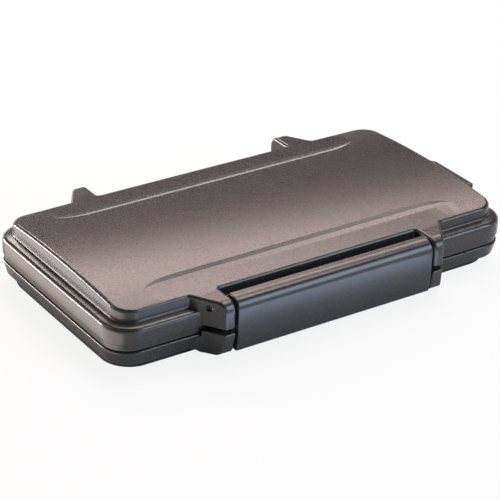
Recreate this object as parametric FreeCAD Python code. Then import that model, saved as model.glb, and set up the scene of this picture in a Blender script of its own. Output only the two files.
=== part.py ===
"""Hinged, latched and sealed hard case for memory cards, with two moulded rubber card liners.

X runs along the case's length, Y from front to rear and Z up. The origin is at the middle
of the foot, so the case stands on the plane Z = 0. All sizes are in millimetres.
"""
import FreeCAD
import Part
import math
import os

Vector = FreeCAD.Vector

# Rim outline, shared by lid and base
case_length = 142.0
rim_depth = 74.6
rim_corner = 8.6
long_side_bow = 0.35
short_side_bow = 0.2
shell_wall = 5.2

# Heights, from the foot up
floor_thickness = 2.0
foot_height = 2.7
base_height = 7.4
parting_gap = 0.4
lip_height = 1.75
rim_wall_height = 5.25
plate_height = 4.35
crown_rise = 1.8
roof_thickness = 2.0

# Base shell
foot_side_inset = 2.4
foot_front_inset = 3.4
foot_corner = 9.4
base_taper = 1.2
base_edge_round = 0.5
base_lower_round = 0.9
foot_edge_round = 0.8

# Lid shell
lip_inset = 0.5
ledge_rise = 0.7
ledge_round = 1.4
rim_lower_round = 0.4
plate_side_inset = 3.1
plate_front_inset = 3.05
plate_corner = 6.1
plate_edge_round = 1.1
cove_radius = 0.7
cove_steps = 5

# Stepped-down strips along the front and rear of the plate
strip_edge_y = 22.4
strip_slope_run = 1.6
strip_slope_depth = 0.36
strip_foot_run = 3.7
strip_foot_depth = 0.42
strip_straight_x = 42.5
strip_tip_x = 56.5
strip_tip_y = 26.0
strip_tip_lift = 0.08
strip_end_inset = 0.15
strip_end_lift = 0.03
strip_fade_steps = 4

# Raised tab on the right-hand ledge
tab_reach = 2.6
tab_front_y = -18.8
tab_rear_y = -0.3
tab_slant = 4.0
tab_drop = 1.4
tab_round = 0.4

# Lugs: four on the lid, two guards on the base
lug_reach = 6.8
lug_inner_x = 35.6
lug_end_width = 3.4
lug_root_width = 9.7
lug_root_round = 1.0
lug_end_round = 3.5
blend_radius = 30.0
lid_lug_drop = 4.0
lug_gap = 1.9

# Guard lugs of the base
guard_lean = 1.6
guard_front_foot = 1.7
guard_rear_foot = 1.5
guard_bend = 2.2
guard_root_round = 6.0
guard_root_depth = 3.0
guard_edge_round = 0.5
guard_wall_gap = 0.5

# Latch
pivot_inset = 4.6
pivot_drop = 2.7
barrel_radius = 2.2
latch_top_reach = 1.0
latch_top_round = 0.4
latch_end_gap = 0.7
latch_wall = 2.3
latch_foot = 2.2
latch_tuck = 0.8
latch_tuck_height = 5.7
hook_height = 2.0
hook_reach = 2.5
latch_edge_round = 0.7
latch_end_round = 0.4

# Catch on the base, behind the latch
catch_half_length = 30.0
catch_height = 1.8
catch_lead = 2.2
catch_land = 0.6
catch_gap = 0.3

# Hinge
hinge_radius = 3.2
hinge_wall_gap = 0.4
hinge_rise = 0.6
knuckle_length = 8.0
knuckle_gap = 0.3

# Pins
pin_radius = 1.0
pin_press_clearance = 0.01
pin_run_clearance = 0.05
pin_depth = 6.0
pin_end_gap = 0.2
pin_recess = 0.6
pin_end_round = 0.25

# Seal ring in the lid's rim
seal_width = 1.6
seal_depth = 1.5
seal_inset = 2.0
seal_clearance = 0.05
seal_proud = 0.25
seal_round = 0.4

# Card inserts
insert_clearance = 0.1
insert_face_gap = 0.8
base_insert_sink = 0.1
insert_skin = 1.6
insert_edge_round = 0.5
card_length = 32.0
card_width = 24.0
card_thickness = 2.1
card_play = 0.4
card_corner = 1.0
pocket_spare_depth = 0.3
pocket_columns = 3
pocket_rows = 2
column_pitch = 42.6
row_pitch = 30.4
thumb_radius = 5.0
thumb_extra_depth = 0.7

# Places worked out from the sizes above
half_length = case_length / 2
half_depth = rim_depth / 2
lid_bottom_z = base_height + parting_gap
lid_wall_z = lid_bottom_z + lip_height
ledge_z = lid_wall_z + rim_wall_height
plate_edge_z = ledge_z + plate_height
crown_z = plate_edge_z + crown_rise
plate_half_length = half_length - plate_side_inset
plate_half_depth = half_depth - plate_front_inset
lid_lug_z = ledge_z - lid_lug_drop
base_lug_z = lid_lug_z - lug_gap
front_end_y = half_depth + lug_reach
pivot_y = -(front_end_y - pivot_inset)
pivot_z = plate_edge_z - pivot_drop
front_round_y = -(front_end_y - lug_end_round)
round_z = plate_edge_z - lug_end_round
hinge_y = half_depth + hinge_wall_gap + hinge_radius
rear_end_y = hinge_y + hinge_radius
rear_round_y = rear_end_y - lug_end_round
hinge_z = base_height + hinge_rise
latch_half_length = lug_inner_x - latch_end_gap
hook_face_y = -front_end_y + latch_tuck + hook_reach
catch_face_y = hook_face_y + catch_gap
catch_z = latch_foot + hook_height + catch_gap
knuckle_outer_x = lug_inner_x - knuckle_gap
base_insert_z = base_height - base_insert_sink
lid_insert_z = base_insert_z + insert_face_gap
pocket_depth = card_thickness + pocket_spare_depth


def side_radius(half_span, bow):
    """Radius of a side that bulges by bow over the given half span."""
    return (half_span ** 2 + bow ** 2) / (2 * bow)


def bowed_wire(half_x, half_y, corner, z, grow=0):
    """Closed outline of four bowed sides joined by tangent corner arcs, all moved outward by grow."""
    rear_radius = side_radius(half_x, long_side_bow)
    right_radius = side_radius(half_y, short_side_bow)
    rear_centre = Vector(0, half_y - rear_radius, z)
    right_centre = Vector(half_x - right_radius, 0, z)
    reach_a = rear_radius - corner
    reach_b = right_radius - corner
    between = right_centre - rear_centre
    span = between.Length
    along = (reach_a ** 2 - reach_b ** 2 + span ** 2) / (2 * span)
    across = math.sqrt(reach_a ** 2 - along ** 2)
    unit = between * (1 / span)
    normal = Vector(unit.y, -unit.x, 0)
    centre = rear_centre + unit * along + normal * across
    rear_tangent = centre + (centre - rear_centre) * ((corner + grow) / reach_a)
    right_tangent = centre + (centre - right_centre) * ((corner + grow) / reach_b)
    outward = rear_tangent + right_tangent - centre * 2
    middle = centre + outward * ((corner + grow) / outward.Length)

    def place(point, sign_x, sign_y):
        return Vector(point.x * sign_x, point.y * sign_y, z)

    stations = []
    for sign_x, sign_y in ((1, 1), (1, -1), (-1, -1), (-1, 1)):
        arc = [place(p, sign_x, sign_y) for p in (rear_tangent, middle, right_tangent)]
        if sign_x != sign_y:
            arc.reverse()
        stations.append(arc)
    end_x = half_x + grow
    end_y = half_y + grow
    side_ends = ((end_x, 0), (0, -end_y), (-end_x, 0), (0, end_y))
    side_middles = [Vector(x, y, z) for x, y in side_ends]
    edges = []
    for index, arc in enumerate(stations):
        following = stations[(index + 1) % len(stations)]
        edges.append(Part.Arc(*arc).toShape())
        edges.append(Part.Arc(arc[2], side_middles[index], following[0]).toShape())
    return Part.Wire(edges)


def rim_wire(inset, z):
    """Rim outline drawn in by inset."""
    return bowed_wire(half_length - inset, half_depth - inset, rim_corner - inset, z)


def plate_wire(grow, z):
    """Top plate's outline, grown outward by grow."""
    return bowed_wire(plate_half_length, plate_half_depth, plate_corner, z, grow)


def cavity_wire(inset, z):
    """Inside outline of both shells, drawn in by inset."""
    return rim_wire(shell_wall + inset, z)


def prism(wire, top_z):
    """Solid from a flat wire straight up to top_z."""
    return Part.Face(wire).extrude(Vector(0, 0, top_z - wire.BoundBox.ZMin))


def ruled_solid(wires):
    """Solid with straight walls through a stack of matching wires."""
    return Part.makeLoft(wires, True, True)


def edges_at(shape, z):
    """Edges of a shape that lie in the plane at height z."""
    flat = 1e-4
    return [e for e in shape.Edges if max(abs(e.BoundBox.ZMin - z), abs(e.BoundBox.ZMax - z)) < flat]


def polygon_prism(points, height):
    """Solid over a plan polygon whose first point gives its lower level."""
    return Part.Face(Part.makePolygon(points + points[:1])).extrude(Vector(0, 0, height))


def slice_along_x(edges, start_x, end_x):
    """Solid with the given outline in a YZ plane at X = 0, between two X places."""
    face = Part.Face(Part.Wire(edges))
    face.translate(Vector(start_x, 0, 0))
    return face.extrude(Vector(end_x - start_x, 0, 0))


def lines(points):
    """Straight edges through (y, z) points in the plane X = 0."""
    vectors = [Vector(0, y, z) for y, z in points]
    return [Part.makeLine(a, b) for a, b in zip(vectors[:-1], vectors[1:])]


def arc_yz(start, middle, end):
    """Arc through three (y, z) points in the plane X = 0."""
    return Part.Arc(*[Vector(0, y, z) for y, z in (start, middle, end)]).toShape()


def rod(radius, y, z, start_x, end_x):
    """Round bar along X."""
    return Part.makeCylinder(radius, end_x - start_x, Vector(start_x, y, z), Vector(1, 0, 0))


def mirrored(shape):
    """The same shape on the other side of the plane X = 0."""
    return shape.mirror(Vector(0, 0, 0), Vector(1, 0, 0))


def on_circle(centre_y, centre_z, radius, degrees):
    """(y, z) point on a circle, measured from +Y towards +Z."""
    angle = math.radians(degrees)
    return (centre_y + radius * math.cos(angle), centre_z + radius * math.sin(angle))


def lug_slant(end_y):
    """How far the outer side of a lug that ends at end_y moves in X for each millimetre in Y."""
    return (lug_root_width - lug_end_width) / (end_y - plate_half_depth)


def lug_outer_x(distance, end_y):
    """X of a lug's outer side at a distance from the case's middle line."""
    return lug_inner_x + lug_end_width + (end_y - distance) * lug_slant(end_y)


def lug_end(side_y):
    """How far a front or rear lug reaches from the case's middle line."""
    return front_end_y if side_y < 0 else rear_end_y


def lug_plan(side_x, side_y):
    """Plan face of one lug, from inside the plate out to its end."""
    foot_y = plate_half_depth - plate_corner
    end_y = lug_end(side_y)
    corners = [
        (lug_inner_x, foot_y),
        (lug_outer_x(foot_y, end_y), foot_y),
        (lug_outer_x(end_y, end_y), end_y),
        (lug_inner_x, end_y),
        (lug_inner_x, foot_y),
    ]
    return Part.Face(Part.makePolygon([Vector(side_x * x, side_y * y, 0) for x, y in corners]))


def crown_blend():
    """(y, z) where the crown ends, and the y where its blend meets the flat lug tops."""
    drop = 0.0
    for _ in range(8):
        rise = crown_z - plate_edge_z - drop
        y = math.sqrt(rise * (2 * crown_radius() - rise))
        slope = math.asin(y / crown_radius())
        drop = blend_radius * (1 - math.cos(slope))
    return y, crown_z - rise, y + blend_radius * math.sin(slope)


def crown_radius():
    """Radius of the arched top."""
    return (plate_half_depth ** 2 + crown_rise ** 2) / (2 * crown_rise)


def front_round():
    """Arc over the front of the lid's lugs and of the latch between them."""
    crest = on_circle(front_round_y, round_z, lug_end_round, 135)
    return arc_yz((-front_end_y, round_z), crest, (front_round_y, plate_edge_z))


def lid_profile():
    """Solid whose YZ section is the lid above its rim: lug ends, crowned top and hinge barrels."""
    crown_y, crown_end_z, flat_y = crown_blend()
    tilt = math.asin(crown_y / crown_radius()) / 2
    blend_y = flat_y - blend_radius * math.sin(tilt)
    blend_z = plate_edge_z + blend_radius * (1 - math.cos(tilt))
    inner_y = hinge_y - hinge_radius
    under = [(inner_y, hinge_z), (inner_y, lid_lug_z), (-front_end_y, lid_lug_z), (-front_end_y, round_z)]
    edges = lines(under)
    edges.append(front_round())
    edges += lines([(front_round_y, plate_edge_z), (-flat_y, plate_edge_z)])
    edges.append(arc_yz((-flat_y, plate_edge_z), (-blend_y, blend_z), (-crown_y, crown_end_z)))
    edges.append(arc_yz((-crown_y, crown_end_z), (0, crown_z), (crown_y, crown_end_z)))
    edges.append(arc_yz((crown_y, crown_end_z), (blend_y, blend_z), (flat_y, plate_edge_z)))
    edges += lines([(flat_y, plate_edge_z), (rear_round_y, plate_edge_z)])
    crest = on_circle(rear_round_y, round_z, lug_end_round, 45)
    edges.append(arc_yz((rear_round_y, plate_edge_z), crest, (rear_end_y, round_z)))
    edges += lines([(rear_end_y, round_z), (rear_end_y, hinge_z)])
    belly = on_circle(hinge_y, hinge_z, hinge_radius, 270)
    edges.append(arc_yz((rear_end_y, hinge_z), belly, (inner_y, hinge_z)))
    return slice_along_x(edges, -case_length, case_length)


def upright_edges(shape, x, y):
    """Vertical edges of a shape at a place in plan, on both sides of the middle."""
    near = 1e-3
    found = []
    for edge in shape.Edges:
        box = edge.BoundBox
        if box.XLength > near or box.YLength > near:
            continue
        if abs(abs(box.Center.x) - x) < near and abs(box.Center.y - y) < near:
            found.append(edge)
    return found


def plate_front_y(x):
    """Distance of the plate's long sides from the middle line at a place along X."""
    radius = side_radius(plate_half_length, long_side_bow)
    return plate_half_depth - radius + math.sqrt(radius ** 2 - x ** 2)


def outer_root(end_y):
    """(x, y) where the outer side of a lug that ends at end_y leaves the plate's long side."""
    x = lug_inner_x + lug_root_width
    for _ in range(8):
        x = lug_outer_x(plate_front_y(x), end_y)
    return x, plate_front_y(x)


def is_profile_face(face):
    """True for a face that runs straight along X."""
    surface = face.Surface
    along = 1e-6
    if isinstance(surface, Part.Plane):
        return abs(surface.Axis.x) < along
    return isinstance(surface, Part.Cylinder) and abs(abs(surface.Axis.x) - 1) < along


def top_boundary(shape):
    """Edges where the upright walls meet the lid's profile, its underside left out."""
    found = []
    for edge in shape.Edges:
        box = edge.BoundBox
        below = box.ZMin < lid_lug_z - 1e-3
        underside = box.ZLength < 1e-6 and box.ZMin < ledge_z
        if below or underside:
            continue
        faces = shape.ancestorsOfType(edge, Part.Face)
        if len({is_profile_face(face) for face in faces}) == 2:
            found.append(edge)
    return found


def crowned_plate():
    """Top plate with its four lugs, all rounded along the top."""
    tall = Vector(0, 0, 2 * crown_z)
    lugs = [lug_plan(x, y).extrude(tall) for x in (-1, 1) for y in (-1, 1)]
    body = Part.Face(plate_wire(0, 0)).extrude(tall).multiFuse(lugs).removeSplitter()
    inner_root_y = plate_front_y(lug_inner_x)
    roots = []
    for side in (-1, 1):
        root_x, root_y = outer_root(lug_end(side))
        roots += upright_edges(body, root_x, side * root_y)
        roots += upright_edges(body, lug_inner_x, side * inner_root_y)
    body = body.makeFillet(lug_root_round, roots)
    body = body.common(lid_profile()).Solids[0]
    return body.makeFillet(plate_edge_round, top_boundary(body))


def crown_height(y):
    """Height of the crowned top at a distance from the middle line."""
    return crown_z - crown_radius() + math.sqrt(crown_radius() ** 2 - y ** 2)


def under_arch(radius, top_z):
    """Everything below an arch that runs along X."""
    side_z = top_z - radius + math.sqrt(radius ** 2 - half_depth ** 2)
    arc = arc_yz((-half_depth, side_z), (0, top_z), (half_depth, side_z))
    rest = lines([(half_depth, side_z), (half_depth, 0), (-half_depth, 0), (-half_depth, side_z)])
    return slice_along_x([arc] + rest, -case_length, case_length)


def cove_wires():
    """Outlines of the hollow curve from the sloping ledge up to the plate's wall, ending inside it."""
    slope = math.atan(ledge_rise / plate_front_inset)
    centre_z = ledge_z + ledge_rise + cove_radius * (1 / math.cos(slope) - math.tan(slope))
    wires = []
    for step in range(cove_steps):
        angle = slope + (math.pi / 2 - slope) * step / cove_steps
        out = cove_radius * (1 - math.sin(angle))
        wires.append(plate_wire(out, centre_z - cove_radius * math.cos(angle)))
    wires.append(plate_wire(-cove_radius, centre_z))
    return wires


def rim_block():
    """Solid of the lid's rim up to the plate, with its sloping ledge rounded into the wall."""
    block = ruled_solid([rim_wire(0, lid_wall_z), rim_wire(0, ledge_z)] + cove_wires())
    block = block.makeFillet(ledge_round, edges_at(block, ledge_z))
    return block.makeFillet(rim_lower_round, edges_at(block, lid_wall_z))


def strip_section(x):
    """YZ outline of the rear strip's cutter at a place along X; the step fades out at both ends."""
    along = max(0, (abs(x) - strip_straight_x) / (strip_tip_x - strip_straight_x))
    share = 1 - along ** 3
    lift = strip_tip_lift * (1 - share)
    slope_y = strip_tip_y + (strip_edge_y + strip_slope_run - strip_tip_y) * share
    foot_y = strip_tip_y + (strip_edge_y + strip_foot_run - strip_tip_y) * share + strip_end_inset
    slope_z = crown_height(slope_y) - strip_slope_depth * share + lift
    foot_z = crown_height(foot_y) - strip_foot_depth * share + lift
    end_y = plate_half_depth + strip_end_inset
    end_z = plate_edge_z + strip_end_lift * share + lift
    top_z = crown_z + strip_foot_depth
    crown_drop = crown_height(strip_edge_y) - crown_height(strip_edge_y + strip_slope_run)
    top_y = slope_y - (top_z - slope_z) * strip_slope_run / (strip_slope_depth + crown_drop)
    corners = [(top_y, top_z), (slope_y, slope_z), (foot_y, foot_z), (end_y, end_z), (end_y, top_z)]
    points = [Vector(x, y, z) for y, z in corners]
    return Part.makePolygon(points + points[:1])


def strips():
    """Cutters for the rear and front strips beside the raised middle of the plate."""
    reach = strip_tip_x - strip_straight_x
    right = [strip_straight_x + reach * step / strip_fade_steps for step in range(strip_fade_steps + 1)]
    stations = [-x for x in reversed(right)] + right
    rear = ruled_solid([strip_section(x) for x in stations])
    return [rear, rear.mirror(Vector(0, 0, 0), Vector(0, 1, 0))]


def ledge_tab():
    """Small raised tab on the right-hand ledge."""
    inner_x = plate_half_length - tab_reach
    outer_x = plate_half_length + tab_reach
    bottom_z = ledge_z - ledge_round
    points = [
        Vector(inner_x, tab_front_y, bottom_z),
        Vector(outer_x, tab_front_y, bottom_z),
        Vector(outer_x, tab_rear_y, bottom_z),
        Vector(inner_x, tab_rear_y + 2 * tab_slant, bottom_z),
    ]
    top_z = crown_z - tab_drop
    tab = polygon_prism(points, top_z - bottom_z)
    return tab.makeFillet(tab_round, edges_at(tab, top_z))


def rim_ring(inset, width, bottom_z, top_z):
    """Ring that follows the rim, inset from it."""
    outer = prism(rim_wire(inset, bottom_z), top_z)
    return outer.cut(prism(rim_wire(inset + width, bottom_z), top_z))


def joined(shapes):
    """All shapes fused one after another."""
    body = shapes[0]
    for shape in shapes[1:]:
        body = body.fuse(shape)
    return body


def without(body, cutters):
    """A body with all cutters taken out of it one after another."""
    for cutter in cutters:
        body = body.cut(cutter)
    return body


def pin_bores(radius, y, z, start_x, end_x):
    """Left and right cutters for a pair of pins."""
    bore = rod(radius, y, z, start_x, end_x)
    return [bore, mirrored(bore)]


def lid_shell():
    """Lid with rim, ledge, crowned and stepped plate, lugs, seal groove and pin bores."""
    lip = prism(rim_wire(lip_inset, lid_bottom_z), ledge_z - ledge_round)
    body = joined([rim_block(), lip, crowned_plate(), ledge_tab()])
    roof = under_arch(crown_radius() - roof_thickness, crown_z - roof_thickness)
    cavity = prism(cavity_wire(0, 0), crown_z).common(roof)
    groove = rim_ring(seal_inset, seal_width, lid_bottom_z - seal_depth, lid_bottom_z + seal_depth)
    press_radius = pin_radius + pin_press_clearance
    bores = pin_bores(press_radius, pivot_y, pivot_z, latch_half_length, half_length)
    bores += pin_bores(press_radius, hinge_y, hinge_z, knuckle_outer_x, half_length)
    return without(body, [cavity, groove] + strips() + bores)


def guard_plan():
    """Plan face of the right-hand guard lug, with a hollow curve where it leaves the wall."""
    wall = half_depth - base_taper
    root = half_depth - guard_root_depth
    corner = Vector(lug_outer_x(wall, front_end_y), -wall, 0)
    along_side = Vector(-lug_slant(front_end_y), -1, 0)
    along_side.normalize()
    bisector = along_side + Vector(1, 0, 0)
    bisector.normalize()
    half_angle = math.acos(bisector.x)
    tangent = guard_root_round / math.tan(half_angle)
    side_point = corner + along_side * tangent
    wall_point = corner + Vector(tangent, 0, 0)
    middle = corner + bisector * (guard_root_round / math.sin(half_angle) - guard_root_round)
    path = [
        side_point,
        Vector(lug_outer_x(front_end_y, front_end_y), -front_end_y, 0),
        Vector(lug_inner_x, -front_end_y, 0),
        Vector(lug_inner_x, -root, 0),
        Vector(wall_point.x, -root, 0),
        wall_point,
    ]
    edges = [Part.makeLine(a, b) for a, b in zip(path[:-1], path[1:])]
    edges.append(Part.Arc(wall_point, middle, side_point).toShape())
    return Part.Face(Part.Wire(edges))


def guard_lug():
    """Right-hand guard lug of the base, which bends in towards the foot."""
    root_y = -(half_depth - guard_root_depth)
    step_y = -(half_depth + guard_wall_gap)
    wall_y = -(half_depth - base_taper)
    wall_z = foot_height + base_lower_round / 2
    sunk_z = base_height - base_edge_round
    bend = (-front_end_y + guard_lean, guard_front_foot)
    outline = [(root_y, wall_z), (wall_y, wall_z), (step_y, guard_rear_foot), bend]
    outline += [(-front_end_y, base_lug_z), (step_y, base_lug_z), (step_y, sunk_z)]
    outline += [(root_y, sunk_z), (root_y, wall_z)]
    profile = slice_along_x(lines(outline), 0, half_length)
    level = edges_at(profile, bend[1])
    bend_edges = [e for e in level if e.BoundBox.XLength > 1]
    profile = profile.makeFillet(guard_bend, bend_edges)
    guard = guard_plan().extrude(Vector(0, 0, crown_z)).common(profile).Solids[0]
    end_x = lug_outer_x(front_end_y, front_end_y)
    corners = []
    for edge in guard.Edges:
        box = edge.BoundBox
        if box.YMax < step_y and box.ZLength > 1e-3:
            corners.append(edge)
        elif abs(box.ZMin - base_lug_z) < 1e-3 and (box.YMin < step_y or box.XMax > end_x):
            corners.append(edge)
    return guard.makeFillet(guard_edge_round, corners)


def catch_rib():
    """Rib on the base that the latch closes in front of."""
    root_y = -(half_depth - catch_lead)
    top_z = catch_z + catch_height
    outline = [(root_y, catch_z), (catch_face_y, catch_z), (catch_face_y, catch_z + catch_land)]
    outline += [(catch_face_y + catch_lead, top_z), (root_y, top_z), (root_y, catch_z)]
    return slice_along_x(lines(outline), -catch_half_length, catch_half_length)


def hinge_knuckle():
    """Right-hand hinge knuckle of the base with its web."""
    start_x = knuckle_outer_x - knuckle_length
    barrel = rod(hinge_radius, hinge_y, hinge_z, start_x, knuckle_outer_x)
    root_y = half_depth - hinge_radius
    web_z = base_height - base_edge_round
    wall_y = half_depth - base_taper
    outline = [(root_y, foot_height), (wall_y, foot_height), (hinge_y, hinge_z - hinge_radius)]
    outline += [(hinge_y, web_z), (root_y, web_z), (root_y, foot_height)]
    return barrel.fuse(slice_along_x(lines(outline), start_x, knuckle_outer_x)).removeSplitter()


def base_shell():
    """Base with stepped foot, guard lugs, catch, hinge knuckles and cavity."""
    wall = ruled_solid([rim_wire(base_taper, foot_height), rim_wire(0, base_height)])
    wall = wall.makeFillet(base_edge_round, edges_at(wall, base_height))
    wall = wall.makeFillet(base_lower_round, edges_at(wall, foot_height))
    foot_half_length = half_length - foot_side_inset
    foot_half_depth = half_depth - foot_front_inset
    foot_wire = bowed_wire(foot_half_length, foot_half_depth, foot_corner, 0)
    foot = prism(foot_wire, base_height - base_edge_round)
    foot = foot.makeFillet(foot_edge_round, edges_at(foot, 0))
    right = [guard_lug(), hinge_knuckle()]
    body = joined([wall, foot, catch_rib()] + right + [mirrored(shape) for shape in right])
    cutters = [prism(cavity_wire(0, floor_thickness), crown_z)]
    bore_start = knuckle_outer_x - pin_depth - pin_end_gap
    cutters += pin_bores(pin_radius + pin_run_clearance, hinge_y, hinge_z, bore_start, lug_inner_x)
    return without(body, cutters)


def latch():
    """Long latch bar with its pivot barrel and the hook along its lower edge."""
    bend_z = latch_foot + latch_tuck_height
    bend_radius = (latch_tuck_height ** 2 + latch_tuck ** 2) / (2 * latch_tuck)
    half_turn = math.degrees(math.asin(latch_tuck_height / bend_radius)) / 2
    bend_middle = on_circle(-front_end_y + bend_radius, bend_z, bend_radius, 180 + half_turn)
    foot_y = -front_end_y + latch_tuck
    inner_y = -front_end_y + latch_wall
    hook_z = latch_foot + hook_height
    top_y = pivot_y + latch_top_reach
    edges = lines([(top_y, pivot_z), (top_y, plate_edge_z), (front_round_y, plate_edge_z)])
    edges.append(front_round())
    edges += lines([(-front_end_y, round_z), (-front_end_y, bend_z)])
    edges.append(arc_yz((-front_end_y, bend_z), bend_middle, (foot_y, latch_foot)))
    inside = [(foot_y, latch_foot), (hook_face_y, latch_foot), (hook_face_y, hook_z), (inner_y, hook_z)]
    edges += lines(inside + [(inner_y, pivot_z), (top_y, pivot_z)])
    bar = slice_along_x(edges, -latch_half_length, latch_half_length)
    barrel = rod(barrel_radius, pivot_y, pivot_z, -latch_half_length, latch_half_length)
    body = bar.fuse(barrel).removeSplitter()
    lower = [e for e in edges_at(body, latch_foot) if e.BoundBox.XLength > latch_half_length]
    body = body.makeFillet(latch_edge_round, lower)
    upper = [e for e in edges_at(body, plate_edge_z) if abs(e.BoundBox.YMax - top_y) < 1e-3]
    upper = [e for e in upper if e.BoundBox.XLength > latch_half_length]
    body = body.makeFillet(latch_top_round, upper)
    ends = [e for e in body.Edges if e.BoundBox.XLength < 1e-4]
    body = body.makeFillet(latch_end_round, ends)
    bore_start = latch_half_length - pin_depth - pin_end_gap
    run_radius = pin_radius + pin_run_clearance
    return without(body, pin_bores(run_radius, pivot_y, pivot_z, bore_start, lug_inner_x))


def pin(y, z, start_x):
    """Right-hand pin, from start_x to just inside the outer side of its lug."""
    body = rod(pin_radius, y, z, start_x, lug_outer_x(abs(y), lug_end(y)) - pin_recess)
    ends = [e for e in body.Edges if e.BoundBox.XLength < 1e-4]
    return body.makeFillet(pin_end_round, ends)


def lid_seal():
    """Rubber ring in the groove of the lid's rim."""
    bottom_z = lid_bottom_z - seal_proud
    top_z = lid_bottom_z + seal_depth - seal_clearance
    ring = rim_ring(seal_inset + seal_clearance, seal_width - 2 * seal_clearance, bottom_z, top_z)
    return ring.makeFillet(seal_round, edges_at(ring, bottom_z))


def card_pockets(face_z):
    """Cutters for all card pockets with their thumb notches, centred on the face they are sunk into."""
    length = card_length + card_play
    width = card_width + card_play
    cutters = []
    for column in range(pocket_columns):
        for row in range(pocket_rows):
            x = (column - (pocket_columns - 1) / 2) * column_pitch
            y = (row - (pocket_rows - 1) / 2) * row_pitch
            block = Part.makeBox(length, width, 2 * pocket_depth)
            corners = [e for e in block.Edges if e.BoundBox.ZLength > pocket_depth]
            block = block.makeFillet(card_corner, corners)
            block.translate(Vector(x - length / 2, y - width / 2, face_z - pocket_depth))
            depth = pocket_depth + thumb_extra_depth
            notch = Part.makeCylinder(thumb_radius, 2 * depth, Vector(x - length / 2, y, face_z - depth))
            cutters += [block, notch]
    return cutters


def base_insert():
    """Rubber liner of the base with card pockets."""
    body = prism(cavity_wire(insert_clearance, floor_thickness), base_insert_z)
    body = body.makeFillet(insert_edge_round, edges_at(body, base_insert_z))
    return without(body, card_pockets(base_insert_z))


def lid_insert():
    """Rubber liner of the lid: a tray with card pockets below and a skirt up to the roof."""
    gap = roof_thickness + insert_clearance
    roof = under_arch(crown_radius() - gap, crown_z - gap)
    body = prism(cavity_wire(insert_clearance, lid_insert_z), crown_z)
    body = body.makeFillet(insert_edge_round, edges_at(body, lid_insert_z)).common(roof)
    hollow_z = lid_insert_z + pocket_depth + insert_skin
    body = body.cut(prism(cavity_wire(insert_clearance + insert_skin, hollow_z), crown_z))
    return without(body, card_pockets(lid_insert_z))


def main():
    latch_pin = pin(pivot_y, pivot_z, latch_half_length - pin_depth)
    hinge_pin = pin(hinge_y, hinge_z, knuckle_outer_x - pin_depth)
    nodes = {
        "lid_shell": lid_shell(),
        "base_shell": base_shell(),
        "latch": latch(),
        "latch_pin_right": latch_pin,
        "latch_pin_left": mirrored(latch_pin),
        "hinge_pin_right": hinge_pin,
        "hinge_pin_left": mirrored(hinge_pin),
        "lid_seal": lid_seal(),
        "base_insert": base_insert(),
        "lid_insert": lid_insert(),
    }
    os.makedirs("parts", exist_ok=True)
    for name, shape in nodes.items():
        solid = shape.Solids[0]
        print(name, len(shape.Solids), solid.isValid(), round(solid.Volume, 1))
        solid.exportStep("parts/" + name + ".step")


main()
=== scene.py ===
import bpy
import math
from mathutils import Matrix, Vector

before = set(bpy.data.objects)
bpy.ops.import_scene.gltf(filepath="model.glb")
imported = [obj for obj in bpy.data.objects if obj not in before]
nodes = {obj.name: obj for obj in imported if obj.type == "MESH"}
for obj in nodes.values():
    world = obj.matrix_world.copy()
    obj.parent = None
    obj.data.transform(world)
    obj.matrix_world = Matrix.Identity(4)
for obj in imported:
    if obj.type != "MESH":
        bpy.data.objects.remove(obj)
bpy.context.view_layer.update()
scene = bpy.context.scene

# Camera at the photograph's viewing angle: degrees and metres, lens and sensor in millimetres
camera_azimuth = -34.75
camera_elevation = 27.14
camera_roll = 1.99
camera_distance = 0.6311
camera_target = Vector((0, 0, 0.0148))
camera_lens = 148.0
camera_sensor = 36
camera_shift = (-0.0092, -0.0512)
camera_clip_start = 0.01
camera_clip_end = 20

# Moulded plastic and rubber: linear colours, grain size and edge width in metres
shell_finish = {
    "dark": (0.026, 0.025, 0.0245),
    "light": (0.032, 0.031, 0.03),
    "worn": (0.06, 0.058, 0.057),
    "roughness": 0.25,
    "grain": 0.035,
    "grain_size": 0.0005,
}
latch_finish = {
    "dark": (0.022, 0.023, 0.025),
    "light": (0.027, 0.028, 0.03),
    "worn": (0.055, 0.055, 0.058),
    "roughness": 0.24,
    "grain": 0.015,
    "grain_size": 0.0006,
}
seal_finish = {
    "dark": (0.026, 0.026, 0.027),
    "light": (0.036, 0.036, 0.037),
    "roughness": 0.55,
    "grain_size": 0.0003,
}
liner_finish = {
    "dark": (0.046, 0.046, 0.048),
    "light": (0.06, 0.06, 0.062),
    "roughness": 0.62,
    "grain_size": 0.0004,
}
plastic_ior = 1.5
plastic_cloud_scale = 90
plastic_grain_depth = 0.25
plastic_gloss_spread = 0.05
pit_scale = 0.5
pit_strength = 0.5
pit_depth = 0.3
scuff_scale = 700
scuff_most = 0.5
worn_width = 0.0006
worn_samples = 6
rubber_ior = 1.48
rubber_cloud_scale = 120
rubber_gloss_spread = 0.06
rubber_grain = 0.3
rubber_grain_depth = 0.3
dust_scale = 2600
dust_most = 0.12
dust_colour = (0.2, 0.2, 0.2)

# Parts of each pattern's range that are stretched to its full effect
cloud_band = (0.35, 0.65)
grain_band = (0.3, 0.7)
scuff_band = (0.4, 0.7)
dust_band = (0.66, 0.74)
worn_band = (0.99, 0.86)

# Ground steel, with fine lines along the pins, which lie along X
steel_dark = (0.5, 0.49, 0.48)
steel_light = (0.7, 0.69, 0.68)
steel_line_scale = 900
steel_line_stretch = (1, 14, 14)
steel_line_strength = 0.15
steel_line_depth = 0.00005
steel_roughness = (0.2, 0.38)

# Studio: white floor and backdrop, dim room; degrees and metres
floor_size = 8
floor_drop = 0.00005
floor_grey = 0.72
floor_white = 0.86
floor_mirrored = 0.1
backdrop_full = 8
backdrop_end = 14
room_level = 0.03

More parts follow.
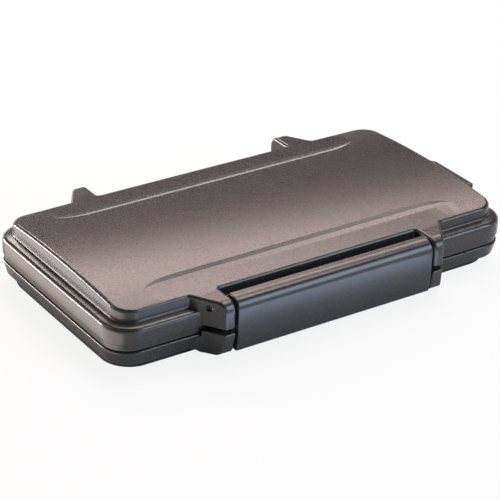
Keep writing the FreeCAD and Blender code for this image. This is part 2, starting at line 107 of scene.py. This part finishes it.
# Soft boxes: name, azimuth from the front, lower and upper elevation, width, radiance, colour, distance
soft_boxes = (
    ("rear_box", 148, 35, 42.5, 44, 9.1, (1.0, 0.77, 0.73), 0.5),
    ("ledge_box", 173, 32, 42, 12, 13.0, (1.0, 0.84, 0.8), 0.8),
    ("rear_upper_box", 134, 43, 54, 44, 4.4, (1.0, 0.87, 0.83), 0.8),
    ("top_box", 120, 62, 80, 50, 8.0, (1.0, 0.87, 0.82), 0.8),
    ("left_strip", -143, 0.3, 13, 32, 29.0, (1.0, 0.93, 0.92), 0.8),
    ("left_box", -118, 28, 46, 24, 2.4, (1.0, 0.77, 0.64), 0.8),
    ("front_box", 36, 14, 40, 34, 6.6, (0.68, 0.84, 1.0), 0.8),
    ("rear_strip", 165, 0.3, 8, 50, 3.0, (1.0, 0.82, 0.75), 0.8),
)

# Light panels on the floor: name, range in x, range in y, radiance, colour
floor_panels = (
    ("left_panel", (-0.19, -0.079), (-0.05, 0.13), 3.0, (1.0, 0.85, 0.81)),
    ("front_panel", (-0.06, 0.052), (-0.085, -0.062), 3.8, (0.58, 0.74, 1.0)),
)
panel_height = 0.001

# Places of a mix node's colour sockets
mix_factor = 0
mix_first = 6
mix_second = 7
mix_result = 2


def direction(azimuth, elevation):
    """Unit vector from the case towards a place in the studio, from angles in radians."""
    level = math.cos(elevation)
    return Vector((math.sin(azimuth) * level, -math.cos(azimuth) * level, math.sin(elevation)))


def add_camera():
    azimuth = math.radians(camera_azimuth)
    roll = math.radians(camera_roll)
    back = direction(azimuth, math.radians(camera_elevation))
    right = Vector((math.cos(azimuth), math.sin(azimuth), 0))
    up = back.cross(right)
    turned_right = right * math.cos(roll) + up * math.sin(roll)
    turned_up = up * math.cos(roll) - right * math.sin(roll)
    data = bpy.data.cameras.new("photo_camera")
    data.lens = camera_lens
    data.sensor_width = camera_sensor
    data.shift_x, data.shift_y = camera_shift
    data.clip_start = camera_clip_start
    data.clip_end = camera_clip_end
    camera = bpy.data.objects.new("photo_camera", data)
    axes = Matrix((turned_right, turned_up, back)).transposed().to_4x4()
    camera.matrix_world = Matrix.Translation(camera_target + back * camera_distance) @ axes
    scene.collection.objects.link(camera)
    scene.camera = camera


class Nodes:
    """Short helper for one material's node tree."""

    def __init__(self, name):
        self.material = bpy.data.materials.new(name)
        self.material.use_nodes = True
        self.tree = self.material.node_tree
        self.shader = self.tree.nodes["Principled BSDF"]
        self.place = self.add("ShaderNodeTexCoord").outputs["Object"]

    def add(self, kind, **settings):
        node = self.tree.nodes.new(kind)
        for key, value in settings.items():
            setattr(node, key, value)
        return node

    def link(self, source, target):
        self.tree.links.new(source, target)

    def noise(self, scale, detail, roughness):
        node = self.add("ShaderNodeTexNoise")
        node.inputs["Scale"].default_value = scale
        node.inputs["Detail"].default_value = detail
        node.inputs["Roughness"].default_value = roughness
        self.link(self.place, node.inputs["Vector"])
        return node.outputs["Fac"]

    def cells(self, scale):
        node = self.add("ShaderNodeTexVoronoi", feature="SMOOTH_F1")
        node.inputs["Scale"].default_value = scale
        self.link(self.place, node.inputs["Vector"])
        return node.outputs["Distance"]

    def spread(self, source, band, low, high):
        """A band of a pattern's values, stretched to run from low to high."""
        node = self.add("ShaderNodeMapRange")
        node.inputs["From Min"].default_value = band[0]
        node.inputs["From Max"].default_value = band[1]
        node.inputs["To Min"].default_value = low
        node.inputs["To Max"].default_value = high
        self.link(source, node.inputs["Value"])
        return node.outputs["Result"]

    def product(self, first, second):
        node = self.add("ShaderNodeMath", operation="MULTIPLY")
        self.link(first, node.inputs[0])
        self.link(second, node.inputs[1])
        return node.outputs["Value"]

    def mix(self, factor, first, second):
        """Mix of two colours, each a fixed colour or another node's output."""
        node = self.add("ShaderNodeMix", data_type="RGBA")
        self.link(factor, node.inputs[mix_factor])
        for socket, value in ((node.inputs[mix_first], first), (node.inputs[mix_second], second)):
            if isinstance(value, tuple):
                socket.default_value = (*value, 1)
            else:
                self.link(value, socket)
        return node.outputs[mix_result]

    def bump(self, height, strength, distance, normal=None):
        node = self.add("ShaderNodeBump")
        node.inputs["Strength"].default_value = strength
        node.inputs["Distance"].default_value = distance
        self.link(height, node.inputs["Height"])
        if normal is not None:
            self.link(normal, node.inputs["Normal"])
        return node.outputs["Normal"]

    def clouded_colour(self, scale, dark, light):
        """Soft clouds between two nearly equal colours."""
        clouds = self.noise(scale, detail=4, roughness=0.6)
        return self.mix(self.spread(clouds, cloud_band, 0, 1), dark, light)

    def uneven_gloss(self, pattern, middle, reach):
        """Roughness that follows a pattern, up to reach on both sides of its middle value."""
        return self.spread(pattern, grain_band, middle - reach, middle + reach)

    def worn_edges(self):
        """0 on flat faces, rising to 1 at edges."""
        edge = self.add("ShaderNodeBevel", samples=worn_samples)
        edge.inputs["Radius"].default_value = worn_width
        geometry = self.add("ShaderNodeNewGeometry")
        turn = self.add("ShaderNodeVectorMath", operation="DOT_PRODUCT")
        self.link(edge.outputs["Normal"], turn.inputs[0])
        self.link(geometry.outputs["Normal"], turn.inputs[1])
        return self.spread(turn.outputs["Value"], worn_band, 0, 1)

    def set(self, **values):
        for key, value in values.items():
            socket = self.shader.inputs[key.replace("_", " ")]
            if isinstance(value, bpy.types.NodeSocket):
                self.link(value, socket)
            else:
                socket.default_value = value


def moulded_plastic(name, dark, light, worn, roughness, grain, grain_size):
    m = Nodes(name)
    colour = m.clouded_colour(plastic_cloud_scale, dark, light)
    scuffs = m.noise(scuff_scale, detail=3, roughness=0.7)
    scuffs = m.spread(scuffs, scuff_band, 0, scuff_most)
    colour = m.mix(m.product(m.worn_edges(), scuffs), colour, worn)
    fine = m.noise(1 / grain_size, detail=3, roughness=0.6)
    pits = m.cells(pit_scale / grain_size)
    normal = m.bump(fine, grain, grain_size * plastic_grain_depth)
    normal = m.bump(pits, grain * pit_strength, grain_size * pit_depth, normal)
    rough = m.uneven_gloss(fine, roughness, plastic_gloss_spread)
    m.set(Base_Color=colour, Roughness=rough, Normal=normal, IOR=plastic_ior)
    return m.material


def moulded_rubber(name, dark, light, roughness, grain_size):
    m = Nodes(name)
    colour = m.clouded_colour(rubber_cloud_scale, dark, light)
    dust = m.noise(dust_scale, detail=2, roughness=0.5)
    colour = m.mix(m.spread(dust, dust_band, 0, dust_most), colour, dust_colour)
    fine = m.noise(1 / grain_size, detail=2, roughness=0.5)
    normal = m.bump(fine, rubber_grain, grain_size * rubber_grain_depth)
    rough = m.uneven_gloss(fine, roughness, rubber_gloss_spread)
    m.set(Base_Color=colour, Roughness=rough, Normal=normal, IOR=rubber_ior)
    return m.material


def ground_steel(name):
    m = Nodes(name)
    stretch = m.add("ShaderNodeMapping")
    stretch.inputs["Scale"].default_value = steel_line_stretch
    m.link(m.place, stretch.inputs["Vector"])
    m.place = stretch.outputs["Vector"]
    lines = m.noise(steel_line_scale, detail=3, roughness=0.6)
    colour = m.mix(lines, steel_dark, steel_light)
    normal = m.bump(lines, steel_line_strength, steel_line_depth)
    rough = m.spread(lines, grain_band, *steel_roughness)
    m.set(Base_Color=colour, Roughness=rough, Normal=normal, Metallic=1.0)
    return m.material


def dress():
    """Gives every node its finish; the nodes that are not named here are the steel pins."""
    shell = moulded_plastic("shell_plastic", **shell_finish)
    bar = moulded_plastic("latch_plastic", **latch_finish)
    steel = ground_steel("pin_steel")
    seal = moulded_rubber("seal_rubber", **seal_finish)
    liner = moulded_rubber("insert_rubber", **liner_finish)
    finishes = {
        "base_shell": shell,
        "lid_shell": shell,
        "latch": bar,
        "lid_seal": seal,
        "base_insert": liner,
        "lid_insert": liner,
    }
    for name, node in nodes.items():
        node.data.materials.clear()
        node.data.materials.append(finishes.get(name, steel))


def white_share(tree):
    """How much of the floor is plain white: for the camera, for reflections and for all else."""
    path = tree.nodes.new("ShaderNodeLightPath")
    mirrored = tree.nodes.new("ShaderNodeMath")
    mirrored.operation = "MAXIMUM"
    tree.links.new(path.outputs["Is Glossy Ray"], mirrored.inputs[0])
    tree.links.new(path.outputs["Is Transmission Ray"], mirrored.inputs[1])
    seen = tree.nodes.new("ShaderNodeMath")
    seen.operation = "MULTIPLY"
    seen.inputs[1].default_value = floor_white
    tree.links.new(path.outputs["Is Camera Ray"], seen.inputs[0])
    share = tree.nodes.new("ShaderNodeMath")
    share.operation = "MULTIPLY_ADD"
    share.inputs[1].default_value = floor_mirrored
    tree.links.new(mirrored.outputs[0], share.inputs[0])
    tree.links.new(seen.outputs[0], share.inputs[2])
    return share.outputs[0]


def add_floor():
    """Pale paper that takes the shadow, mixed with plain white where the camera sees it."""
    bpy.ops.mesh.primitive_plane_add(size=floor_size, location=(0, 0, -floor_drop))
    floor = bpy.context.object
    floor.name = "floor"
    material = bpy.data.materials.new("floor_white")
    material.use_nodes = True
    tree = material.node_tree
    tree.nodes.remove(tree.nodes["Principled BSDF"])
    paper = tree.nodes.new("ShaderNodeBsdfDiffuse")
    paper.inputs["Color"].default_value = (floor_grey, floor_grey, floor_grey, 1)
    white = tree.nodes.new("ShaderNodeEmission")
    white.inputs["Color"].default_value = (1, 1, 1, 1)
    white.inputs["Strength"].default_value = 1
    mix = tree.nodes.new("ShaderNodeMixShader")
    tree.links.new(white_share(tree), mix.inputs[0])
    tree.links.new(paper.outputs[0], mix.inputs[1])
    tree.links.new(white.outputs[0], mix.inputs[2])
    tree.links.new(mix.outputs[0], tree.nodes["Material Output"].inputs["Surface"])
    floor.data.materials.append(material)


def add_world():
    """White backdrop round the horizon that fades into a dim room above it."""
    world = bpy.data.worlds.new("studio")
    world.use_nodes = True
    tree = world.node_tree
    place = tree.nodes.new("ShaderNodeTexCoord")
    parts = tree.nodes.new("ShaderNodeSeparateXYZ")
    tree.links.new(place.outputs["Generated"], parts.inputs[0])
    fade = tree.nodes.new("ShaderNodeMapRange")
    fade.inputs["From Min"].default_value = math.sin(math.radians(backdrop_full))
    fade.inputs["From Max"].default_value = math.sin(math.radians(backdrop_end))
    fade.inputs["To Min"].default_value = 1
    fade.inputs["To Max"].default_value = room_level
    tree.links.new(parts.outputs["Z"], fade.inputs["Value"])
    backdrop = tree.nodes["Background"]
    backdrop.inputs["Color"].default_value = (1, 1, 1, 1)
    tree.links.new(fade.outputs[0], backdrop.inputs["Strength"])
    scene.world = world


def add_lamp(name, size, location, facing, radiance, colour):
    """Rectangular soft lamp of a given radiance, unseen by the camera."""
    data = bpy.data.lights.new(name, "AREA")
    data.shape = "RECTANGLE"
    data.size, data.size_y = size
    data.energy = radiance * data.size * data.size_y * math.pi
    data.color = colour
    lamp = bpy.data.objects.new(name, data)
    lamp.location = location
    lamp.rotation_mode = "QUATERNION"
    lamp.rotation_quaternion = facing.to_track_quat("-Z", "Y")
    lamp.visible_camera = False
    scene.collection.objects.link(lamp)


def add_soft_box(name, azimuth, low, high, spread, radiance, colour, distance):
    """Soft box that faces the case and fills the view between two elevations."""
    out = direction(math.radians(azimuth), math.radians((low + high) / 2))
    width = 2 * distance * math.tan(math.radians(spread / 2))
    height = 2 * distance * math.tan(math.radians((high - low) / 2))
    add_lamp(name, (width, height), out * distance, -out, radiance, colour)


def add_floor_panel(name, x_range, y_range, radiance, colour):
    """Light panel that lies on the floor and faces up."""
    size = (x_range[1] - x_range[0], y_range[1] - y_range[0])
    middle = Vector((sum(x_range) / 2, sum(y_range) / 2, panel_height))
    add_lamp(name, size, middle, Vector((0, 0, 1)), radiance, colour)


def add_lights():
    for box in soft_boxes:
        add_soft_box(*box)
    for panel in floor_panels:
        add_floor_panel(*panel)


add_camera()
dress()
add_floor()
add_world()
add_lights()
scene.view_settings.view_transform = "Standard"
